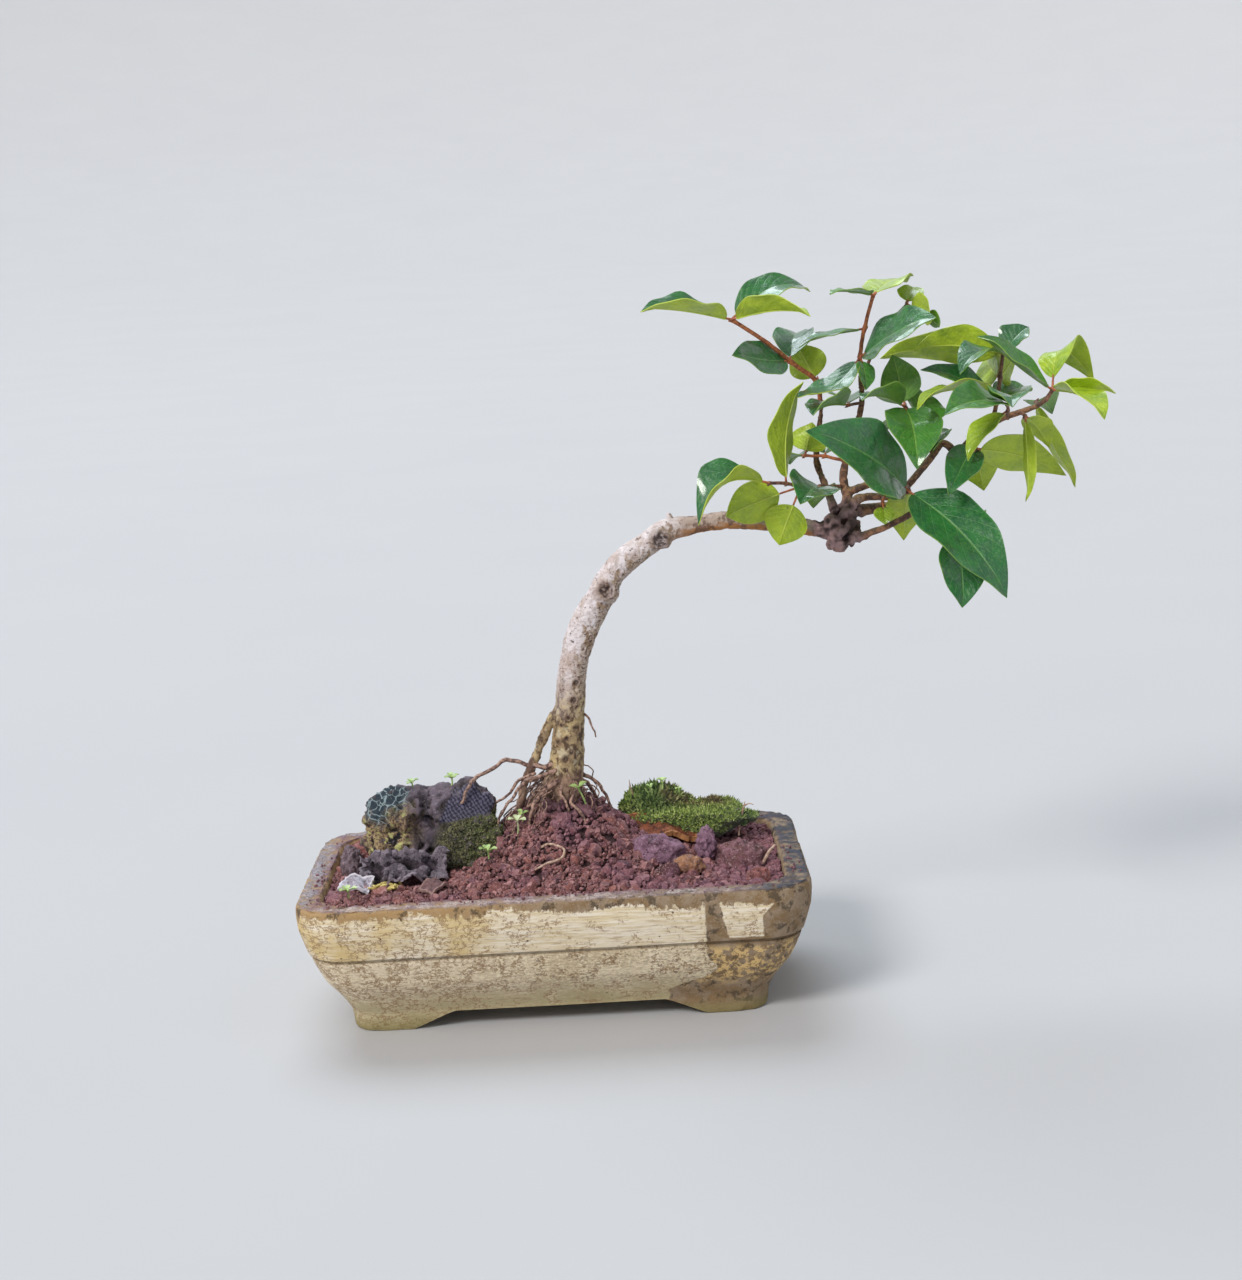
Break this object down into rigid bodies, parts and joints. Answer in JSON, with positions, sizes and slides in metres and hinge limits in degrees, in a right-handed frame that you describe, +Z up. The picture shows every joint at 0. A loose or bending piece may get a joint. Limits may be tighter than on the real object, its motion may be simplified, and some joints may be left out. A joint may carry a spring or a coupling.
{
  "type": "surinam cherry bonsai",
  "caption": "Small Surinam cherry tree with an arching trunk and a one-sided leafy crown, in a low oblong footed pot with stump, moss and stones.",
  "frame": {"origin": "under the middle of the whole object's box, at the height of the pot's feet", "axes": "+X along the pot towards the leafy crown, +Y away from the viewer, +Z up"},
  "size_m": [0.3282, 0.12, 0.2828],
  "materials": {
    "painted_cement": "weathered painted cement",
    "screen_plastic": "matte",
    "lava_grit": "rough red-brown grit",
    "cherry_bark": "smooth flaking bark",
    "leaf_dark": "glossy leaf",
    "leaf_sunlit": "glossy leaf, young",
    "lava_stone": "rough lava stone",
    "stump_wood": "weathered wood",
    "red_bark": "rough bark",
    "grey_bark": "rough bark",
    "moss": "matte moss",
    "seedling_leaf": "soft leaf"
  },
  "bodies": {
    "root": {"bark_chip": "red_bark", "bark_flake_brown": "grey_bark", "bark_flake_pale": "grey_bark", "bark_ribbon": "grey_bark", "drain_screen_left": "screen_plastic", "drain_screen_right": "screen_plastic", "moss_cushion": "moss", "pot": "painted_cement", "seedling_front": "seedling_leaf", "seedling_rim": "seedling_leaf", "seedling_root": "seedling_leaf", "seedling_slope": "seedling_leaf", "soil": "lava_grit", "spray_centre": "leaf_dark", "spray_crown": "leaf_dark", "spray_crown_right": "leaf_sunlit", "spray_front": "leaf_dark", "spray_heart": "leaf_sunlit", "spray_inner_left": "leaf_dark", "spray_left_low": "leaf_sunlit", "spray_left_tip": "leaf_dark", "spray_lower_tip": "leaf_dark", "spray_right_hanging": "leaf_sunlit", "spray_right_inner": "leaf_dark", "spray_right_outer": "leaf_sunlit", "spray_right_stem": "leaf_dark", "spray_right_tip": "leaf_sunlit", "spray_right_under": "leaf_sunlit", "spray_stem_left": "leaf_dark", "stone_dome": "lava_stone", "stone_grey": "lava_stone", "stone_left": "lava_stone", "stone_purple": "lava_stone", "stone_red": "lava_stone", "stone_tan": "lava_stone", "stone_upright": "lava_stone", "stump": "stump_wood", "trunk": "cherry_bark"}
  },
  "joints": []
}
